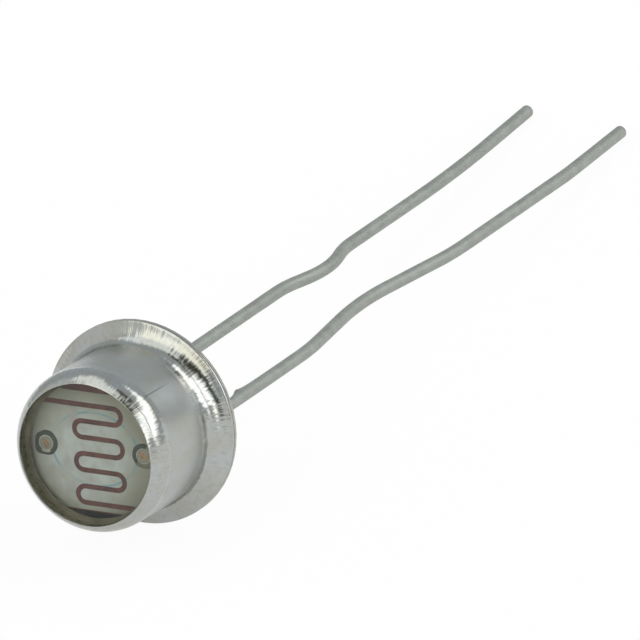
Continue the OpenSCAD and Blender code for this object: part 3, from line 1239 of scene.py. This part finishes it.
@dataclass
class Contact:
    """Ring of conductive paste between a lead's end and its electrode, with a ragged outer edge."""

    side: Side
    film_top: float = 2.984
    depth: float = 0.5
    lead_r: float = 0.205
    hole_r: float = 0.4
    reach: float = 0.405
    ragged: float = 0.02
    lump: float = 0.006
    blob_angle: float | None = None
    blob: float = 0.07
    gap_angle: float | None = None
    gap_half: float = 32.0
    thin_angle: float | None = None
    thin_half: float = 101.5
    coating: float = 0.04
    pitch: float = 3.44
    segments: int = 72

    def outer(self, angle: float) -> float:
        """Finds the ring's ragged edge.

        Args:
            angle: Way round the ring in radians.

        Returns:
            The edge's radius.
        """
        spot = Vector((1.6 * math.cos(angle), 1.6 * math.sin(angle), 3.0 * self.side.value))
        radius = self.reach + self.ragged * noise.noise(spot)
        if self.blob_angle is not None:
            turn = math.cos(angle - math.radians(self.blob_angle))
            radius += self.blob * max(0.0, turn) ** 14
        return radius

    def coat(self, i: int, angle: float) -> Coat:
        """Finds what a face of the ring is made of.

        Args:
            i: Number of the face along the section, from the wire's side.
            angle: Way round the ring in degrees.

        Returns:
            Solder next to the wire and in the gap, paste elsewhere, thin on one side.
        """
        if i == 1:
            return Coat.SOLDER
        if i == 2 and self.gap_angle is not None and abs(angle - self.gap_angle) < self.gap_half:
            return Coat.SOLDER
        if i > 1 and self.thin_angle is not None:
            off = (angle - self.thin_angle + 180) % 360 - 180
            return Coat.THIN_PASTE if abs(off) < self.thin_half else Coat.PASTE
        return Coat.PASTE

    def build(self, frame: OpticalFrame) -> bpy.types.Object:
        """Draws the ring's section at each angle and joins them.

        Args:
            frame: Where the part lies.

        Returns:
            The ring, which stands for its CAD node.
        """
        name = f"contact_{self.side.name.lower()}"
        x = self.side.value * self.pitch / 2
        draft = MeshDraft()
        low = self.film_top - self.coating - self.depth
        count = 0
        for j in range(self.segments):
            angle = 2 * math.pi * j / self.segments
            edge = self.outer(angle)
            lump = self.lump * noise.noise(Vector((5 * math.cos(angle), 5 * math.sin(angle), 1.0)))
            # Out from the wire: up its side, over the sloping top to the edge, and down the hole.
            section = [
                (self.lead_r, low),
                (self.lead_r, self.film_top + 0.03 + lump),
                (self.lead_r + 0.05, self.film_top + 0.022 + lump),
                (self.lead_r + 0.11, self.film_top + 0.012 + lump),
                (edge - 0.05, self.film_top + 0.01 + 0.5 * lump),
                (edge - 0.015, self.film_top + 0.006),
                (edge, self.film_top + 0.001),
                (self.hole_r - 0.004, self.film_top + 0.0005),
                (self.hole_r - 0.004, low),
            ]
            count = len(section)
            draft.points += [(x + r * math.cos(angle), r * math.sin(angle), z) for r, z in section]
        for j, i, quad in lattice(self.segments, count, closed=True):
            draft.face(quad, slot=self.coat(i, 360 * j / self.segments).value)
        # Conductive paste, dried in place: the eye sees a dark, dull, uneven ring.
        paste = SinteredPowder(
            "conductive_paste", "#444840", "#2F352F", roughness=0.6, grain_mm=0.04, blotch_mm=0.2
        )
        # Solder, set dull round the wire: the eye sees a thin pale rim.
        rim = SinteredPowder(
            "solder_rim", "#C3BDAA", "#A69F8C", roughness=0.45, grain_mm=0.05, blotch_mm=0.15
        )
        # The same paste spread thin: the eye sees it greyer, since the film shows through.
        thin = replace(paste, name="thin_paste", tint="#8D8B78", shade="#6F6D5B")
        coats = (paste, rim) if self.thin_angle is None else (paste, rim, thin)
        ring = draft.make(f"{name}_ring", frame, [coat.make(frame) for coat in coats])
        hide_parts(name)
        return ring


def dress_nodes(
    nodes: dict[str, bpy.types.Object], finishes: dict[str, bpy.types.Material]
) -> None:
    """Gives CAD solids their finishes.

    Args:
        nodes: The frame's objects by name.
        finishes: Materials by node name.
    """
    for name, finish in finishes.items():
        nodes[name].material_slots[0].material = finish
        LOG.info("dressed %s", name)


@dataclass
class Element:
    """The coated ceramic plate, whose CAD solids stay and get their finishes."""

    nodes: dict[str, bpy.types.Object]

    def dress(self, frame: OpticalFrame) -> None:
        """Gives the plate, the light sensitive layer and the films their finishes.

        Args:
            frame: Where the part lies.
        """
        film = ElectrodeFilm().make(frame)
        # Cadmium sulphide, sprayed and sintered: the eye sees a matte red brown track.
        layer = SinteredPowder(
            "sintered_cadmium_sulphide", "#78453B", "#58322B", grain_mm=0.03, blotch_mm=0.25
        )
        # Alumina, pressed and fired: the eye sees chalky off-white at the plate's edge and back.
        plate = SinteredPowder("fired_alumina", "#E6E1D4", "#D6D0C0", roughness=0.6)
        finishes = {
            "electrode_left": film,
            "electrode_right": film,
            "cds_layer": layer.make(frame),
            "substrate": plate.make(frame),
        }
        dress_nodes(self.nodes, finishes)


@dataclass
class Header:
    """The header behind the element, whose CAD solids stay and get their finishes."""

    nodes: dict[str, bpy.types.Object]

    def dress(self, frame: OpticalFrame) -> None:
        """Gives the eyelet, its glass and the window's seal their finishes.

        Args:
            frame: Where the part lies.
        """
        # Frit, melted under the window's edge: the eye sees a dull olive brown crescent.
        seal = FiredGlass(
            "dark_sealing_glass", "#89836E", "#6C6751", roughness=0.52, blotch_mm=0.8
        )
        # Glass, melted into the eyelet round the leads: the eye sees a glossy dark green fill.
        fill = FiredGlass("green_header_glass", "#3C4A44", "#2B3632")
        finishes = {
            "eyelet": PlainNickel().make(frame),
            "header_glass": fill.make(frame),
            "window_seal": seal.make(frame),
        }
        dress_nodes(self.nodes, finishes)


@dataclass(frozen=True)
class SoftBox:
    """A soft light or a dark flag in the studio's surround, as an oblong patch of the sky."""

    towards: Triple
    along: Triple
    half_length: float
    half_width: float
    soft: float
    light: Triple

    def cover(self, tree: Tree, ray: Socket) -> Socket:
        """Adds the patch's outline to the surround.

        Args:
            tree: The surround's tree.
            ray: Socket with the direction looked in.

        Returns:
            Socket that is one inside the patch and zero outside it.
        """
        middle = Vector(self.towards).normalized()
        along = Vector(self.along)
        along = (along - middle * along.dot(middle)).normalized()
        reaches = (
            (along, self.half_length),
            (middle.cross(along), self.half_width),
            (middle, None),
        )
        inside = None
        for axis, half in reaches:
            part = add_node(tree, "VectorMath", {0: ray, 1: axis}, operation="DOT_PRODUCT")
            value = part.outputs["Value"]
            if half is None:
                low, high = 0.0, 0.1
            else:
                value = add_node(tree, "Math", {0: value}, operation="ABSOLUTE").outputs[0]
                low = math.sin(math.radians(half + self.soft))
                high = math.sin(math.radians(half - self.soft))
            mask = add_node(
                tree,
                "MapRange",
                {"Value": value, "From Min": low, "From Max": high},
                interpolation_type="SMOOTHSTEP",
            ).outputs[0]
            if inside is not None:
                mask = add_node(tree, "Math", {0: inside, 1: mask}, operation="MULTIPLY").outputs[0]
            inside = mask
        return inside


@dataclass
class Studio:
    """White table, soft surround and a camera at the photograph's viewing angle."""

    axis_tilt: float = 33.34
    axis_turn: float = 31.0
    face_turn: float = -33.96
    seat_px: Pair = (143.25, 420.29)
    px_per_mm: float = 32.131
    frame_px: float = 640.0
    lens: float = 1700.0
    sensor: float = 36.0
    table: str = "#F4F4F3"
    table_half: float = 3.0
    table_white: float = 0.94
    table_mirrored: float = 0.5
    surround: Triple = (0.515, 0.55, 0.57)
    # In order: a broad light at the left, a pale strip and a dark flag at the right front, a bright
    # strip at the right, a warm light in front, a light at the right back, a thin dark flag at the
    # right and a light overhead.
    boxes: tuple[SoftBox, ...] = (
        SoftBox((-0.75, -0.54, 0.38), (0.95, -0.30, -0.35), 40.0, 22.0, 8.0, (0.80, 0.81, 0.79)),
        SoftBox((0.69, -0.63, 0.35), (-0.42, 1.06, 1.15), 39.0, 9.0, 4.0, (0.95, 0.95, 0.93)),
        SoftBox((0.36, -0.72, 0.58), (0.05, 1.20, 1.20), 48.0, 9.0, 3.0, (0.06, 0.06, 0.04)),
        SoftBox((0.79, -0.41, 0.46), (-0.28, -0.89, -0.82), 31.0, 9.5, 3.0, (2.4, 2.4, 2.35)),
        SoftBox((-0.19, -0.70, 0.69), (-0.23, 0.45, 1.10), 35.0, 15.5, 4.0, (1.90, 1.86, 1.66)),
        SoftBox((0.79, 0.30, 0.53), (0.31, 1.02, 0.74), 34.0, 16.0, 6.0, (2.4, 2.4, 2.4)),
        SoftBox((0.64, -0.06, 0.77), (-0.60, 0.15, 1.00), 32.0, 2.0, 1.0, (0.10, 0.10, 0.08)),
        SoftBox((-0.20, -0.16, 0.96), (0.77, -0.45, -0.63), 30.0, 15.0, 5.0, (1.35, 1.37, 1.33)),
    )

    def camera_axes(self, frame: OpticalFrame) -> tuple[Vector, Vector, Vector]:
        """Works out the camera's axes from how the part's axes lie in the photograph.

        Args:
            frame: Where the part lies.

        Returns:
            The camera's right, up and back in the row frame.
        """
        angles = (self.axis_tilt, self.axis_turn, self.face_turn)
        tilt, turn, roll = (math.radians(angle) for angle in angles)
        axis = Vector((math.cos(turn), math.sin(turn), 0.0))
        aside = Vector((-math.sin(turn), math.cos(turn), 0.0))
        view = Vector((0.0, 0.0, 1.0))
        front = view * math.cos(tilt) - axis * math.sin(tilt)
        spoke = axis * math.cos(tilt) + view * math.sin(tilt)
        across = spoke * math.cos(roll) + aside * math.sin(roll)
        up = front.cross(across)
        seen = Matrix((across, up, front)).transposed()
        rows = (frame.turn() @ seen.transposed()).transposed()
        return Vector(rows[0]), Vector(rows[1]), Vector(rows[2])

    def build_camera(self, frame: OpticalFrame) -> bpy.types.Object:
        """Sets up the camera so that the seat's middle falls where the photograph shows it.

        Args:
            frame: Where the part lies.

        Returns:
            The camera.
        """
        right, up, back = self.camera_axes(frame)
        half = self.frame_px / 2
        aside = (half - self.seat_px[0]) / self.px_per_mm * MM
        above = (self.seat_px[1] - half) / self.px_per_mm * MM
        target = frame.origin + right * aside + up * above
        far = self.lens / self.sensor * self.frame_px / self.px_per_mm * MM
        data = bpy.data.cameras.new("camera")
        data.lens = self.lens
        data.sensor_width = self.sensor
        data.clip_start = 0.1 * far
        data.clip_end = 4.0 * far
        camera = bpy.data.objects.new("camera", data)
        camera.matrix_world = Matrix.Translation(target + back * far) @ Matrix(
            (right, up, back)
        ).transposed().to_4x4()
        bpy.context.scene.collection.objects.link(camera)
        bpy.context.scene.camera = camera
        return camera

    def build_table(self) -> bpy.types.Object:
        """Lays the white table under the part; it keeps the part's shadow.

        Returns:
            The table, which is stage.
        """
        mesh = bpy.data.meshes.new("table")
        w = self.table_half
        mesh.from_pydata([(-w, -w, 0), (w, -w, 0), (w, w, 0), (-w, w, 0)], [], [(0, 1, 2, 3)])
        # White card, matte: the eye sees an even white ground with the part's soft shadow.
        material, tree, shader = new_material("white_card")
        sockets = {"Base Color": linear(self.table), "Roughness": 0.9, "Specular IOR Level": 0.0}
        feed(tree, shader, sockets)
        path = add_node(tree, "LightPath").outputs
        seen = add_node(
            tree,
            "Math",
            {0: path["Is Camera Ray"], 1: path["Is Transmission Ray"]},
            operation="MAXIMUM",
        ).outputs[0]
        mirrored = add_node(
            tree, "Math", {0: path["Is Glossy Ray"], 1: self.table_mirrored}, operation="MULTIPLY"
        ).outputs[0]
        seen = add_node(tree, "Math", {0: seen, 1: mirrored}, operation="MAXIMUM").outputs[0]
        share = add_node(tree, "Math", {0: seen, 1: self.table_white}, operation="MULTIPLY")
        white = add_node(tree, "Emission", {"Color": (1, 1, 1, 1), "Strength": 1.0})
        mix = add_node(
            tree, "MixShader", {0: share.outputs[0], 1: shader.outputs[0], 2: white.outputs[0]}
        )
        show(tree, mix)
        mesh.materials.append(material)
        table = bpy.data.objects.new("table", mesh)
        bpy.context.scene.collection.objects.link(table)
        table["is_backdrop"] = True
        return table

    def build_light(self) -> None:
        """Lights the part from a soft grey surround with bright boxes and dark flags."""
        world = bpy.data.worlds.new("studio")
        bpy.context.scene.world = world
        world.use_nodes = True
        tree = world.node_tree
        tree.nodes.clear()
        ray = add_node(tree, "TexCoord").outputs["Generated"]
        light = add_node(tree, "CombineXYZ", dict(enumerate(self.surround))).outputs[0]
        for box in self.boxes:
            mix = add_node(
                tree,
                "Mix",
                {"Factor": box.cover(tree, ray), "A": light, "B": (*box.light, 1.0)},
                data_type="RGBA",
            )
            light = mix.outputs[2]
        background = add_node(tree, "Background", {"Color": light, "Strength": 1.0})
        add_node(tree, "OutputWorld", {"Surface": background.outputs[0]})


LEADS = (
    Lead(
        Side.LEFT,
        straight=12.0,
        kink=14.6,
        kink_in=0.55,
        kink_out=0.25,
        kink_r=4.1,
        after=4.1,
        tail=-4.9,
        tail_r=68.0,
        length=30.0,
    ),
    Lead(
        Side.RIGHT,
        straight=7.0,
        kink=7.5,
        kink_in=2.05,
        kink_out=2.75,
        kink_r=12.0,
        after=6.7,
        tail=3.4,
        tail_r=10.0,
        length=29.3,
        burr_z=3.2,
        core_r=0.15,
        core_x=-0.03,
    ),
)
CONTACTS = (
    Contact(Side.LEFT, blob_angle=222.0, gap_angle=265.0),
    Contact(Side.RIGHT, thin_angle=-35.0),
)


def corners(box: tuple[Vector, Vector]) -> list[list[float]]:
    """Turns a box into plain lists of numbers."""
    return [list(corner) for corner in box]


def main() -> None:
    """Builds the part's pieces in order, dresses its CAD solids and sets up the studio."""
    logging.basicConfig(level=logging.INFO, format="%(name)s: %(message)s")
    for old in list(bpy.data.objects):
        bpy.data.objects.remove(old, do_unlink=True)
    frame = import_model()
    cad_box = corners(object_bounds())
    optical = OpticalFrame.from_mounts(frame["record"]["mounts"])
    for piece in (Cap(), Window(), *LEADS, *CONTACTS):
        made = piece.build(optical)
        LOG.info("built %s with %d faces", made.name, len(made.data.polygons))
    Element(frame["nodes"]).dress(optical)
    Header(frame["nodes"]).dress(optical)
    studio = Studio()
    studio.build_table()
    studio.build_light()
    studio.build_camera(optical)
    bpy.context.scene.view_settings.view_transform = "Standard"
    bpy.context.view_layer.update()
    {"cad": cad_box, "visual": corners(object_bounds())}


if __name__ == "__main__":
    main()
